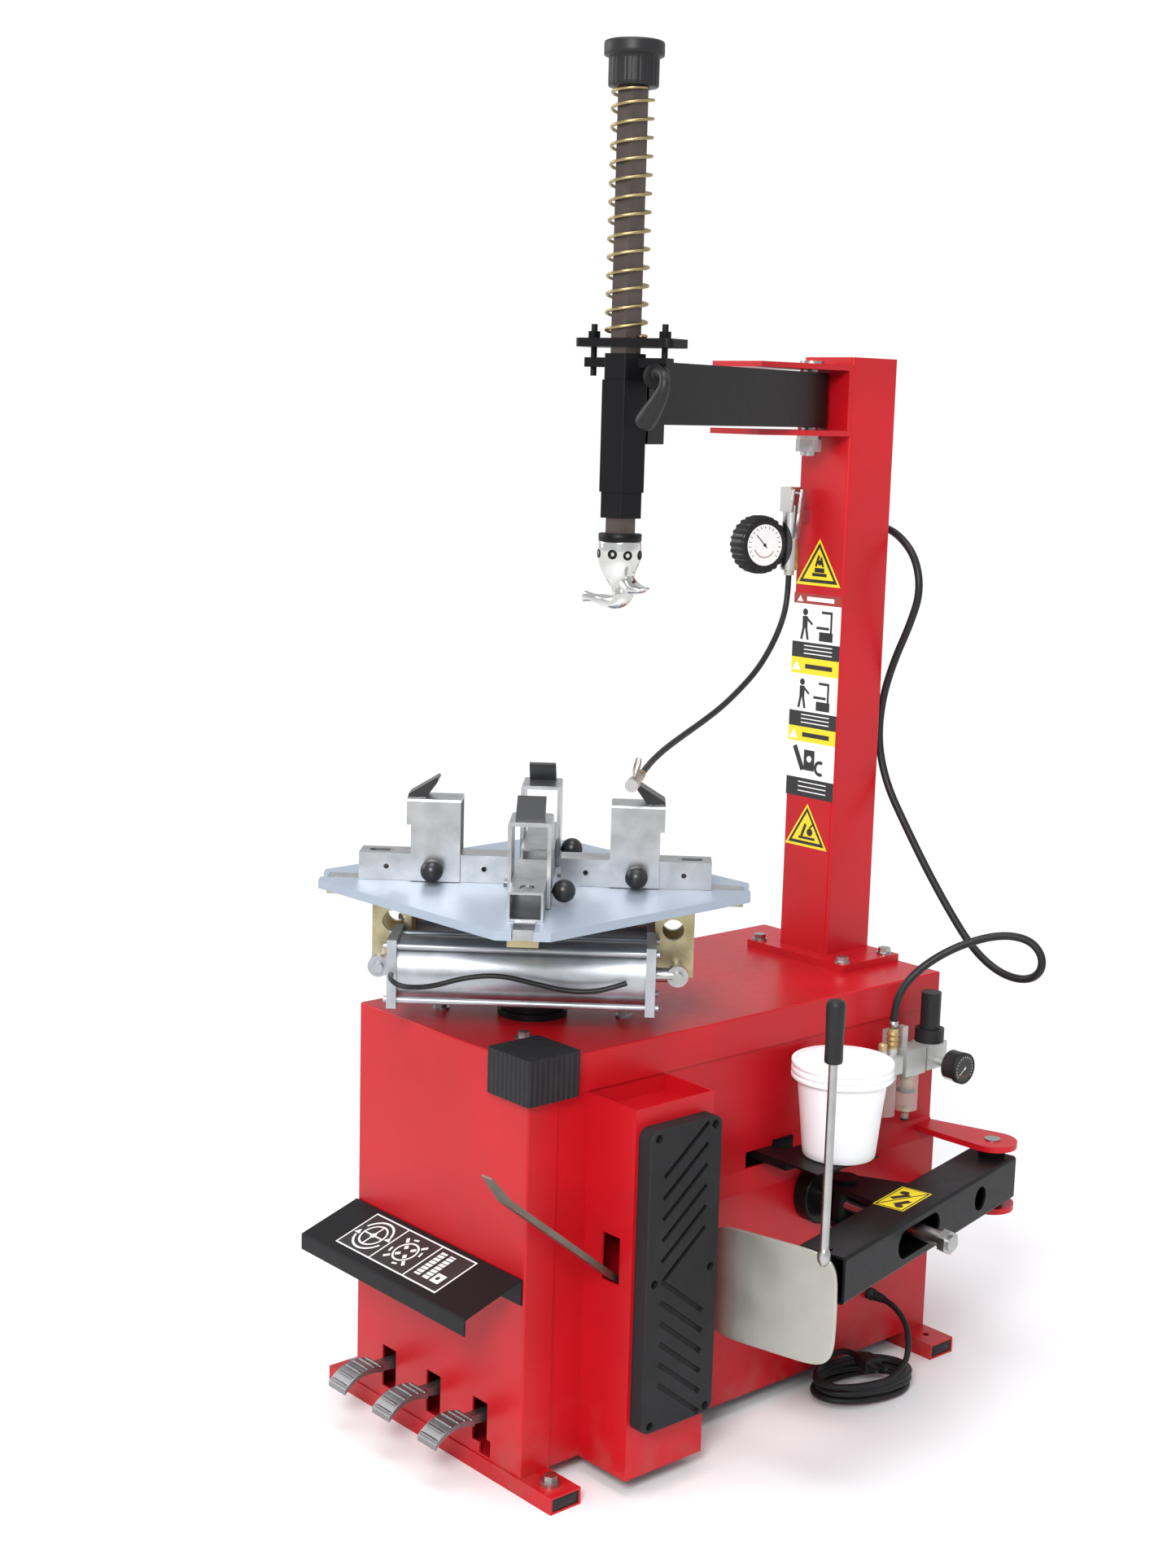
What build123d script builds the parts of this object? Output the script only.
from build123d import *
import os
from math import atan2, cos, degrees, hypot, pi, radians, sin, sqrt, tan

# Tire changer. Millimetres. +Z up, -Y is the operator's side with the pedals, +X is the bead-breaker
# side. The origin is on the turntable's spindle axis, at floor level.

# --- driving dimensions: cabinet ------------------------------------------------------------------
SHEET = 3.0                 # wall of every cabinet panel
CAB_WIDTH = 376.0
CAB_DEPTH = 820.0
CAB_TOP = 596.0             # height of the top cover above the floor
CAB_SHIFT = 4.0             # cabinet centre, to the right of the spindle axis
CAB_FRONT = -164.0          # front face
SKIRT = 53.0                # drop of the top cover over the side walls
PANEL_RETURN = 50.0         # front panel folded back along the sides
RAIL_LENGTH = 508.0
RAIL_WIDTH = 52.0
RAIL_HEIGHT = 24.0
RAIL_WALL = 3.0
ANCHOR_INSET = 32.0         # anchor hole from the rail's end
ANCHOR_RADIUS = 5.5
DECK_THICK = 10.0           # plate under the cover that carries the drive

# --- driving dimensions: side equipment -------------------------------------------------------------
TOWER_FRONT = -59.0
TOWER_WIDTH = 141.0         # along the machine
TOWER_REACH = 92.0          # from the cabinet side
TOWER_TOP = 540.0
TRAY_DEPTH = 22.0
PAD_WIDTH = 130.0
PAD_HEIGHT = 420.0
PAD_THICK = 24.0
PAD_BOTTOM = 95.0
PAD_HOLE_RADIUS = 6.0
CORNER_SIZE = 88.0          # rubber corner block
CORNER_HEIGHT = 62.0
CORNER_COVER = 12.0         # rubber outside the sheet metal
LEVER_X = 243.0             # tyre lever, parked in the tower
LEVER_WIDTH = 20.0
LEVER_THICK = 8.0

# --- driving dimensions: pedals ---------------------------------------------------------------------
PEDAL_PITCH = 104.0
PEDAL_SLOT_WIDTH = 32.0
PEDAL_SLOT_BOTTOM = 42.0
PEDAL_SLOT_TOP = 104.0
PEDAL_AXLE_Y = -46.0
PEDAL_AXLE_Z = 80.0
PEDAL_AXLE_RADIUS = 6.0
PEDAL_REACH = 254.0         # front edge of the treads, forward of the spindle axis
PEDAL_WIDTH = 40.0
GUARD_WIDTH = 372.0
GUARD_REACH = 92.0
GUARD_TOP = 302.0
GUARD_DROP = 30.0           # fall of the sloping sheet
GUARD_LIP = 21.0
GUARD_SHEET = 2.5

# --- driving dimensions: column and swing arm ---------------------------------------------------------
COLUMN_SIDE = 100.0
COLUMN_WALL = 4.0
COLUMN_Y = 600.0
COLUMN_TOP = 1518.0
BASE_THICK = 12.0
BASE_LEFT, BASE_RIGHT, BASE_FRONT = -92.0, 112.0, 522.0
ARM_CENTRE_Z = 1454.0
ARM_HEIGHT = 80.0
ARM_WIDTH = 50.0
ARM_WALL = 4.0
ARM_REACH = 550.0           # swing pivot to hexagon shaft
ARM_REST = 17.5             # degrees to the right of straight ahead, as it stands
BRACKET_REACH = 194.0
BRACKET_PLATE = 8.0
BRACKET_GAP = 4.0           # between the arm and each bracket plate
PIVOT_STEP = 36.0           # pivot axis in front of the column
PIVOT_RADIUS = 12.0
SHAFT_FLATS = 38.0          # hexagon shaft across its flats
SHAFT_TOP = 1862.0
SLEEVE_TOP = 1502.0
SLEEVE_BOTTOM = 1295.0
SLEEVE_FLATS = 57.0
CLAMP_THICK = 11.0
CLAMP_Z = 1510.0
SPRING_WIRE = 4.2
SPRING_RADIUS = 25.6        # centre line of the wire
SPRING_TURNS = 14
CAP_BOTTOM = 1828.0
CAP_TOP = 1883.0
HEAD_TOP = 1265.0
HEAD_BOTTOM = 1178.0
COLLAR_HEIGHT = 10.0

# --- driving dimensions: turntable --------------------------------------------------------------------
PLATE_TOP = 784.0
PLATE_THICK = 12.0
PLATE_SIDE = 470.0
PLATE_TIP = 297.0           # corner flats from the spindle axis
TABLE_TURN = 47.0           # azimuth of the right jaw
SLOT_WIDTH = 28.0
GUIDE_INNER, GUIDE_OUTER = 36.0, 243.0
GUIDE_WIDTH, GUIDE_HEIGHT, GUIDE_WALL = 46.0, 38.0, 3.0
CARRIAGE_INNER, CARRIAGE_OUTER = 103.0, 177.0
CARRIAGE_TOP = 900.0
CARRIAGE_SHEET = 5.0
SLIDE_CLEAR = 0.5
KNOB_RADIUS = 15.5
SPINDLE_RADIUS = 27.0
CYL_OFFSET = 85.0           # clamp cylinders from the spindle axis
CYL_Z = 679.0
CYL_HEAD = 94.0             # square end plates
CYL_LEFT, CYL_RIGHT = -190.0, 170.0
CYL_BORE = 40.0             # radius
CYL_ROD = 10.0
EYE_LEFT, EYE_RIGHT = -206.0, 200.0
PIN_RADIUS = 7.0

# --- driving dimensions: bead breaker -------------------------------------------------------------------
BREAKER_X, BREAKER_Y = 311.0, 654.0     # hinge pin
BREAKER_REST = 12.6         # degrees outward from straight ahead, as it stands
BREAKER_TOP = 340.0         # top of the arm
BREAKER_TUBE_H, BREAKER_TUBE_W, BREAKER_WALL = 66.0, 74.0, 4.0
BREAKER_START, BREAKER_END = -7.0, 511.0
BREAKER_PIN = 12.0
LUG_PLATE = 9.0
LUG_RADIUS = 37.0
LEDGE = 10.0                # lower side panel stands out
LEDGE_TOP = 366.0
RAM_Y, RAM_Z = 380.9, 308.0 # line of the breaker's piston rod
RAM_RADIUS = 90.0
RAM_ROD = 11.0
RAM_NUT_X = 446.0
SWIVEL_U, SWIVEL_V = 252.0, -112.0      # cross pin that the rod runs through
SWIVEL_RADIUS = 18.5
BLADE_IN, BLADE_OUT = -167.0, 31.0      # blade edges, across the arm
BLADE_LOW, BLADE_TOP = 185.0, 345.0
BLADE_THICK = 5.0
BLADE_PIN_U = 497.0
HANDLE_RADIUS = 6.5
HANDLE_V = 11.4
HANDLE_TOP = 690.0

# --- driving dimensions: air unit, bucket, inflator --------------------------------------------------------
AIR_X, AIR_Z = 228.0, 485.0
LUBRICATOR_Y, FILTER_Y, REGULATOR_Y = 497.0, 545.0, 593.0
BUCKET_X, BUCKET_Y = 273.0, 349.0
BUCKET_BOTTOM, BUCKET_TOP = 391.8, 533.0
BUCKET_TOP_RADIUS, BUCKET_FOOT_RADIUS, LID_RADIUS = 67.0, 52.0, 73.0
INFLATOR_X, INFLATOR_Y, INFLATOR_Z = -34.0, 519.0, 1237.0
RUN = 0.05                  # radial running clearance of shafts and pins

os.makedirs("parts", exist_ok=True)

CAB_LEFT = CAB_SHIFT - CAB_WIDTH / 2
CAB_RIGHT = CAB_SHIFT + CAB_WIDTH / 2
CAB_REAR = CAB_FRONT + CAB_DEPTH
SHELL_RIGHT = CAB_RIGHT - SHEET
SHELL_LEFT = CAB_LEFT + SHEET
PIVOT_Y = COLUMN_Y - COLUMN_SIDE / 2 - PIVOT_STEP


# --- shared shapes ------------------------------------------------------------------------------------------
def block(x0, x1, y0, y1, z0, z1):
    """A box between two corners."""
    return Pos((x0 + x1) / 2, (y0 + y1) / 2, (z0 + z1) / 2) * Box(abs(x1 - x0), abs(y1 - y0), abs(z1 - z0))


def rod(start, end, radius):
    """A round bar from one point to another."""
    a, b = Vector(*start), Vector(*end)
    way = b - a
    return Plane(origin=a + way / 2, z_dir=way) * Cylinder(radius, way.length)


def upright(x, y, z0, z1, radius):
    return rod((x, y, z0), (x, y, z1), radius)


def hexagon(flats, z0, z1, turn=0.0):
    """An upright hexagonal bar. Its flats face along X at a turn of 0."""
    shape = Plane.XY.offset(z0) * RegularPolygon(flats / 2, 6, major_radius=False, rotation=30 + turn)
    return extrude(shape, z1 - z0)


def hex_bolt(x, y, top, head_flats, shank_radius, length, head=7.0):
    """A bolt with its head above `top` and its shank hanging down."""
    return Pos(x, y, 0) * (hexagon(head_flats, top, top + head) + upright(0, 0, top - length, top, shank_radius))


def turned(shape, angle):
    return Rot(0, 0, angle) * shape


def save(name, shape):
    shape.label = name
    export_step(shape, f"parts/{name}.step")


def group(*solids):
    return Compound([s for shape in solids for s in shape.solids()])


# --- foot rails ----------------------------------------------------------------------------------------------
RAIL_X0, RAIL_X1 = CAB_SHIFT - RAIL_LENGTH / 2, CAB_SHIFT + RAIL_LENGTH / 2
ANCHOR_XS = (RAIL_X0 + ANCHOR_INSET, RAIL_X1 - ANCHOR_INSET)
FRONT_RAIL_Y = CAB_FRONT - 2 + RAIL_WIDTH / 2
REAR_RAIL_Y = CAB_REAR - 2 - RAIL_WIDTH / 2


def foot_rail(y):
    """A flat rectangular tube with an anchor hole through each end."""
    tube = block(RAIL_X0, RAIL_X1, y - RAIL_WIDTH / 2, y + RAIL_WIDTH / 2, 0, RAIL_HEIGHT)
    tube -= block(RAIL_X0, RAIL_X1, y - RAIL_WIDTH / 2 + RAIL_WALL, y + RAIL_WIDTH / 2 - RAIL_WALL,
                  RAIL_WALL, RAIL_HEIGHT - RAIL_WALL)
    for x in ANCHOR_XS:
        tube -= upright(x, y, -1, RAIL_HEIGHT + 1, ANCHOR_RADIUS)
    return tube


save("foot_rails", group(foot_rail(FRONT_RAIL_Y), foot_rail(REAR_RAIL_Y)))

# --- cabinet panels --------------------------------------------------------------------------------------------
PEDAL_XS = [CAB_SHIFT - 4 + i * PEDAL_PITCH for i in (-1, 0, 1)]
BOLT_SPREAD = 91.0          # gearbox bolts on the top cover, from the spindle axis
TABLE_BOLTS = [(sx * BOLT_SPREAD, sy * BOLT_SPREAD) for sx in (-1, 1) for sy in (-1, 1)]
BASE_REAR = COLUMN_Y + COLUMN_SIDE / 2
COLUMN_BOLTS = [(x, y) for x in (BASE_LEFT + 14, BASE_RIGHT - 14) for y in (BASE_FRONT + 13, BASE_REAR - 18)]
DECK_HOLE = 40.0
RAM_OPENING = 25.0
HOLDER_Y0, HOLDER_Y1 = 262.0, 300.0
HOLDER_Z0, HOLDER_Z1 = 379.0, 391.5
CABLE_Y, CABLE_Z = 518.0, 112.0     # mains cord gland on the right side
CABLE_RADIUS = 4.5
GLAND_RADIUS = 9.0
WALL_TOP = CAB_TOP - SHEET

shell = block(SHELL_LEFT, SHELL_RIGHT, CAB_FRONT + SHEET, CAB_REAR - SHEET, RAIL_HEIGHT, WALL_TOP)
shell -= block(SHELL_LEFT + SHEET, SHELL_RIGHT - SHEET, CAB_FRONT, CAB_REAR - 2 * SHEET, RAIL_HEIGHT - 1, CAB_TOP)
deck = block(SHELL_LEFT + SHEET, SHELL_RIGHT - SHEET, -130, 150, WALL_TOP - DECK_THICK, WALL_TOP)
deck -= upright(0, 0, 0, CAB_TOP, DECK_HOLE)
rear_deck = block(SHELL_LEFT + SHEET, SHELL_RIGHT - SHEET, BASE_FRONT - 20, CAB_REAR - 2 * SHEET,
                  WALL_TOP - DECK_THICK, WALL_TOP)
for bolt_x, bolt_y in TABLE_BOLTS:
    deck -= upright(bolt_x, bolt_y, 0, CAB_TOP, 5.2)
for bolt_x, bolt_y in COLUMN_BOLTS:
    rear_deck -= upright(bolt_x, bolt_y, 0, CAB_TOP, 5.2)
floor_front = block(SHELL_LEFT + SHEET, SHELL_RIGHT - SHEET, CAB_FRONT + SHEET, CAB_FRONT + 150,
                    RAIL_HEIGHT, RAIL_HEIGHT + SHEET)
for side in (-1, 1):
    bearer_x = CAB_SHIFT + side * (1.5 * PEDAL_PITCH + 4)
    floor_front += block(bearer_x - 3, bearer_x + 3, PEDAL_AXLE_Y - 18, PEDAL_AXLE_Y + 18,
                         RAIL_HEIGHT, PEDAL_AXLE_Z + 14)
floor_front -= rod((-300, PEDAL_AXLE_Y, PEDAL_AXLE_Z), (300, PEDAL_AXLE_Y, PEDAL_AXLE_Z), PEDAL_AXLE_RADIUS)
ledge_y0 = TOWER_FRONT + TOWER_WIDTH + 6
ledge_outline = [(SHELL_RIGHT, RAIL_HEIGHT), (SHELL_RIGHT + LEDGE, RAIL_HEIGHT),
                 (SHELL_RIGHT + LEDGE, LEDGE_TOP - 30), (SHELL_RIGHT, LEDGE_TOP)]
ledge_plane = Plane(origin=(0, CAB_REAR - SHEET, 0), x_dir=(1, 0, 0), z_dir=(0, -1, 0))
ledge = extrude(ledge_plane * make_face(Polyline(*ledge_outline, close=True).edges()), CAB_REAR - SHEET - ledge_y0)
hollow = [(SHELL_RIGHT - SHEET, RAIL_HEIGHT - 1), (SHELL_RIGHT + LEDGE - SHEET, RAIL_HEIGHT - 1),
          (SHELL_RIGHT + LEDGE - SHEET, LEDGE_TOP - 32), (SHELL_RIGHT - SHEET, LEDGE_TOP - 2)]
ledge_hollow = extrude(ledge_plane * make_face(Polyline(*hollow, close=True).edges()),
                       CAB_REAR - ledge_y0 - 2 * SHEET)
shell += ledge
shell -= Pos(0, -SHEET, 0) * ledge_hollow
shell += deck + rear_deck + floor_front
shell -= rod((CAB_RIGHT - 30, RAM_Y, RAM_Z), (CAB_RIGHT + 20, RAM_Y, RAM_Z), RAM_OPENING)
shell -= block(CAB_RIGHT - 20, CAB_RIGHT, HOLDER_Y0 - 16, HOLDER_Y1, LEDGE_TOP + 1, HOLDER_Z1)
shell -= rod((CAB_RIGHT - 20, CABLE_Y, CABLE_Z), (CAB_RIGHT + 20, CABLE_Y, CABLE_Z), GLAND_RADIUS)
save("cabinet_shell", shell)

front = block(CAB_LEFT, CAB_RIGHT, CAB_FRONT, CAB_FRONT + PANEL_RETURN, RAIL_HEIGHT, CAB_TOP - SKIRT)
front += block(CAB_LEFT, CAB_RIGHT, CAB_FRONT, CAB_FRONT + SHEET, RAIL_HEIGHT, WALL_TOP)
front = fillet(front.edges().filter_by(Axis.Z).filter_by(lambda e: e.center().Y < CAB_FRONT + 0.1), 2.9)
front -= block(SHELL_LEFT, SHELL_RIGHT, CAB_FRONT + SHEET, 0, 0, CAB_TOP)
for pedal_x in PEDAL_XS:
    front -= block(pedal_x - PEDAL_SLOT_WIDTH / 2, pedal_x + PEDAL_SLOT_WIDTH / 2, CAB_FRONT - 1,
                   CAB_FRONT + 10, PEDAL_SLOT_BOTTOM, PEDAL_SLOT_TOP)
front -= block(PEDAL_XS[2], PEDAL_XS[2] + PEDAL_SLOT_WIDTH / 2 + 8, CAB_FRONT - 1, CAB_FRONT + 10,
               PEDAL_SLOT_BOTTOM - 14, PEDAL_SLOT_BOTTOM + 10)
save("front_panel", front)

cover = block(CAB_LEFT, CAB_RIGHT, CAB_FRONT, CAB_REAR, CAB_TOP - SKIRT, CAB_TOP)
cover = fillet(cover.edges().filter_by(Axis.Z) + cover.edges().group_by(Axis.Z)[-1], 2.9)
cover -= block(SHELL_LEFT, SHELL_RIGHT, CAB_FRONT - 1, CAB_REAR - SHEET, 0, WALL_TOP)
cover -= block(CAB_LEFT - 1, CAB_RIGHT + 1, CAB_FRONT - 1, CAB_FRONT + SHEET, 0, WALL_TOP)
cover -= upright(0, 0, 0, CAB_TOP + 1, DECK_HOLE)
for bolt_x, bolt_y in TABLE_BOLTS + COLUMN_BOLTS:
    cover -= upright(bolt_x, bolt_y, 0, CAB_TOP + 1, 5.2)
save("top_cover", cover)

# --- fixing bolts: rail anchors, gearbox bolts, column bolts --------------------------------------------------------
WASHER = 3.0
fixings = []
for anchor_x in ANCHOR_XS:
    anchor = hex_bolt(anchor_x, FRONT_RAIL_Y, RAIL_HEIGHT + 2 * WASHER, 17, 5.0, RAIL_HEIGHT + WASHER)
    anchor += upright(anchor_x, FRONT_RAIL_Y, RAIL_HEIGHT, RAIL_HEIGHT + 2 * WASHER, 14)
    fixings.append(anchor)
for bolt_x, bolt_y in TABLE_BOLTS:
    fixings.append(hex_bolt(bolt_x, bolt_y, CAB_TOP + WASHER, 15, 5.0, WASHER + SHEET + DECK_THICK)
                   + upright(bolt_x, bolt_y, CAB_TOP, CAB_TOP + WASHER, 12))
for bolt_x, bolt_y in COLUMN_BOLTS:
    fixings.append(hex_bolt(bolt_x, bolt_y, CAB_TOP + BASE_THICK + WASHER, 17, 5.0, 30)
                   + upright(bolt_x, bolt_y, CAB_TOP + BASE_THICK, CAB_TOP + BASE_THICK + WASHER, 12))
# --- pad tower, rubber pad, corner block, tyre lever ------------------------------------------------------------------
TOWER_REAR = TOWER_FRONT + TOWER_WIDTH
TOWER_RIGHT = CAB_RIGHT + TOWER_REACH
LEVER_SLOPE = -38.3         # lever axis in the YZ plane, degrees below the horizontal going rearward
LEVER_REST_Z = 302.0        # lever axis where it crosses the tower's front wall
LEVER_SLOT = 34.0
tower = block(SHELL_RIGHT, TOWER_RIGHT, TOWER_FRONT, TOWER_REAR, RAIL_HEIGHT, TOWER_TOP)
tower -= block(SHELL_RIGHT + SHEET, TOWER_RIGHT - SHEET, TOWER_FRONT + SHEET, TOWER_REAR - SHEET,
               RAIL_HEIGHT - 1, TOWER_TOP + 1)
tower -= block(SHELL_RIGHT - 1, CAB_RIGHT, TOWER_FRONT - 1, TOWER_REAR + 1, CAB_TOP - SKIRT - 4, TOWER_TOP + 1)
tower += block(SHELL_RIGHT + SHEET, TOWER_RIGHT - SHEET, TOWER_FRONT + SHEET, TOWER_REAR - SHEET,
               TOWER_TOP - TRAY_DEPTH - SHEET, TOWER_TOP - TRAY_DEPTH)
tower -= block(LEVER_X - LEVER_SLOT / 2, LEVER_X + LEVER_SLOT / 2, TOWER_FRONT - 1, TOWER_FRONT + 10,
               LEVER_REST_Z - 9.5, LEVER_REST_Z + 56)
save("pad_tower", tower)

PAD_Y = TOWER_FRONT + TOWER_WIDTH / 2
PAD_X1 = TOWER_RIGHT + PAD_THICK
PAD_ROWS = [PAD_BOTTOM + PAD_HEIGHT * f for f in (0.023, 0.5, 0.977)]
pad = block(TOWER_RIGHT, PAD_X1, PAD_Y - PAD_WIDTH / 2, PAD_Y + PAD_WIDTH / 2, PAD_BOTTOM, PAD_BOTTOM + PAD_HEIGHT)
pad = fillet(pad.edges().filter_by(Axis.X), 14)
pad = fillet(pad.faces().sort_by(Axis.X)[-1].edges(), 3)
GROOVE = 5.0
PAD_MID = PAD_BOTTOM + PAD_HEIGHT / 2
groove_half = PAD_WIDTH / 2 - 26
for row in range(-6, 7):
    lean = -1 if row > 0 else 1
    if row == 0:
        continue
    groove = Rot(-lean * 38, 0, 0) * Box(2 * GROOVE, 2 * groove_half / cos(radians(38)), 7)
    pad -= Pos(PAD_X1, PAD_Y, PAD_MID + row * 29) * groove
pad_fasteners = []
for pad_z in (PAD_BOTTOM + 11, PAD_MID, PAD_BOTTOM + PAD_HEIGHT - 11):
    for pad_y in (PAD_Y - PAD_WIDTH / 2 + 14, PAD_Y + PAD_WIDTH / 2 - 14):
        pad -= rod((TOWER_RIGHT - 1, pad_y, pad_z), (PAD_X1 + 1, pad_y, pad_z), PAD_HOLE_RADIUS)
        pad_fasteners.append(rod((TOWER_RIGHT, pad_y, pad_z), (TOWER_RIGHT + PAD_THICK - 9, pad_y, pad_z),
                                 PAD_HOLE_RADIUS))
save("bead_pad", pad)

CORNER_Y0 = CAB_FRONT - CORNER_COVER
CORNER_X1 = CAB_RIGHT + CORNER_COVER + 2
corner = block(CORNER_X1 - CORNER_SIZE, CORNER_X1, CORNER_Y0, CORNER_Y0 + CORNER_SIZE,
               CAB_TOP + 11 - CORNER_HEIGHT, CAB_TOP + 11)
corner = fillet(corner.edges().filter_by(Axis.Z), 4)
corner -= block(0, CAB_RIGHT, CAB_FRONT, 0, 0, CAB_TOP)
save("corner_block", corner)

way_y, way_z = cos(radians(LEVER_SLOPE)), sin(radians(LEVER_SLOPE))
LEVER_BEND = -234.0         # along the lever, from the tower wall to the bend
LEVER_TAIL = 108.0          # along the lever, into the tower


def lever_point(along, lift=0.0):
    return (TOWER_FRONT + along * way_y - lift * way_z, LEVER_REST_Z + along * way_z + lift * way_y)


tip = (lever_point(LEVER_BEND)[0] - 30, lever_point(LEVER_BEND)[1] + 38)
half = LEVER_THICK / 2
lever_outline = [lever_point(LEVER_TAIL, -half), lever_point(LEVER_TAIL, half), lever_point(LEVER_BEND, half),
                 (tip[0] + 1, tip[1] + 1), (tip[0] - 1, tip[1] - 1), lever_point(LEVER_BEND, -half)]
lever_face = Plane(origin=(LEVER_X, 0, 0), x_dir=(0, 1, 0), z_dir=(1, 0, 0)) * make_face(
    Polyline(*lever_outline, close=True).edges())
lever = extrude(lever_face, LEVER_WIDTH / 2, both=True)
save("tyre_lever", lever)

# --- pedal guard and pedals ------------------------------------------------------------------------------------------
guard_x0 = CAB_SHIFT - GUARD_WIDTH / 2 - 2
guard_line = Polyline((CAB_FRONT, GUARD_TOP - 34), (CAB_FRONT, GUARD_TOP), (CAB_FRONT - GUARD_REACH, GUARD_TOP - GUARD_DROP),
                      (CAB_FRONT - GUARD_REACH, GUARD_TOP - GUARD_DROP - GUARD_LIP))
guard_line = offset(guard_line, GUARD_SHEET, side=Side.RIGHT)
guard_sketch = make_face(guard_line.edges())
guard_plane = Plane(origin=(guard_x0, 0, 0), x_dir=(0, 1, 0), z_dir=(1, 0, 0))
guard = extrude(guard_plane * guard_sketch, GUARD_WIDTH)
if guard.bounding_box().max.Y > CAB_FRONT + 0.01:
    guard = Pos(0, CAB_FRONT - guard.bounding_box().max.Y, 0) * guard
save("pedal_guard", guard)


def pedal(x):
    """A cast lever: hub on the axle, a flat arm through the slot, and a curved ribbed tread."""
    slab = Plane(origin=(x, 0, 0), x_dir=(0, 1, 0), z_dir=(1, 0, 0))
    front_y = -PEDAL_REACH
    arm_outline = [(PEDAL_AXLE_Y, PEDAL_AXLE_Z - 9), (CAB_FRONT, 74), (CAB_FRONT - 32, 78),
                   (CAB_FRONT - 32, 88), (CAB_FRONT, 88), (PEDAL_AXLE_Y, PEDAL_AXLE_Z + 9)]
    arm = extrude(slab * make_face(Polyline(*arm_outline, close=True).edges()), 7, both=True)
    tread_top = ThreePointArc((CAB_FRONT - 24, 88), (CAB_FRONT - 58, 91), (front_y, 72))
    tread_low = ThreePointArc((front_y, 65), (CAB_FRONT - 58, 84), (CAB_FRONT - 24, 80))
    tread_wires = tread_top.edges() + tread_low.edges()
    tread_wires += [Line((front_y, 72), (front_y, 65)).edge(), Line((CAB_FRONT - 24, 80), (CAB_FRONT - 24, 88)).edge()]
    tread = extrude(slab * make_face(tread_wires), PEDAL_WIDTH / 2, both=True)
    hub = rod((x - 14, PEDAL_AXLE_Y, PEDAL_AXLE_Z), (x + 14, PEDAL_AXLE_Y, PEDAL_AXLE_Z), 14)
    bore = rod((x - 20, PEDAL_AXLE_Y, PEDAL_AXLE_Z), (x + 20, PEDAL_AXLE_Y, PEDAL_AXLE_Z), PEDAL_AXLE_RADIUS + RUN)
    return arm + tread + hub - bore


for pedal_name, pedal_x in zip(("pedal_left", "pedal_middle", "pedal_right"), PEDAL_XS):
    save(pedal_name, pedal(pedal_x))
axle_half = 1.5 * PEDAL_PITCH + 7
save("pedal_axle", rod((CAB_SHIFT - axle_half, PEDAL_AXLE_Y, PEDAL_AXLE_Z),
                       (CAB_SHIFT + axle_half, PEDAL_AXLE_Y, PEDAL_AXLE_Z), PEDAL_AXLE_RADIUS))

# --- column with its base plate and arm bracket -----------------------------------------------------------------------
half_side = COLUMN_SIDE / 2
base_z = CAB_TOP + BASE_THICK
column = block(-half_side, half_side, COLUMN_Y - half_side, COLUMN_Y + half_side, base_z, COLUMN_TOP)
column = fillet(column.edges().filter_by(Axis.Z), 5)
inner = half_side - COLUMN_WALL
column -= block(-inner, inner, COLUMN_Y - inner, COLUMN_Y + inner, base_z - 1, COLUMN_TOP - 3)
base = block(BASE_LEFT, BASE_RIGHT, BASE_FRONT, BASE_REAR, CAB_TOP, base_z)
for bolt_x, bolt_y in COLUMN_BOLTS:
    base -= upright(bolt_x, bolt_y, 0, base_z + 1, 5.2)
column += base
column_face = COLUMN_Y - half_side
gap_half = ARM_HEIGHT / 2 + BRACKET_GAP
bracket_half = gap_half + BRACKET_PLATE
bracket = block(-half_side, half_side, column_face - BRACKET_REACH, column_face,
                ARM_CENTRE_Z - bracket_half, ARM_CENTRE_Z + bracket_half)
bracket -= block(-half_side - 1, half_side + 1, column_face - BRACKET_REACH - 1, column_face - BRACKET_PLATE,
                 ARM_CENTRE_Z - gap_half, ARM_CENTRE_Z + gap_half)
bracket -= upright(0, PIVOT_Y, ARM_CENTRE_Z - bracket_half - 1, ARM_CENTRE_Z + bracket_half + 1, PIVOT_RADIUS)
save("column", column + bracket)

pivot_top = ARM_CENTRE_Z + bracket_half
pivot_low = ARM_CENTRE_Z - bracket_half
pivot_bolt = upright(0, PIVOT_Y, pivot_low - 30, pivot_top, PIVOT_RADIUS)
pivot_bolt += upright(0, PIVOT_Y, pivot_top, pivot_top + 5, 18)
pivot_bolt += upright(0, PIVOT_Y, pivot_low - 6, pivot_low, 18)
pivot_bolt += Pos(0, PIVOT_Y, 0) * hexagon(34, pivot_low - 24, pivot_low - 6)

# --- swing arm with its hexagon sleeve ----------------------------------------------------------------------------------
# Drawn pointing along +X from the pivot, then turned to where it stands.
ARM_TURN = -90 + ARM_REST
HEX_BORE = SHAFT_FLATS + 0.5
BOLT_IN, BOLT_OUT = -47.0, 57.0      # clamp bolts across the arm, either side of the shaft


def on_arm(shape):
    return Pos(0, PIVOT_Y, 0) * turned(shape, ARM_TURN)


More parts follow.
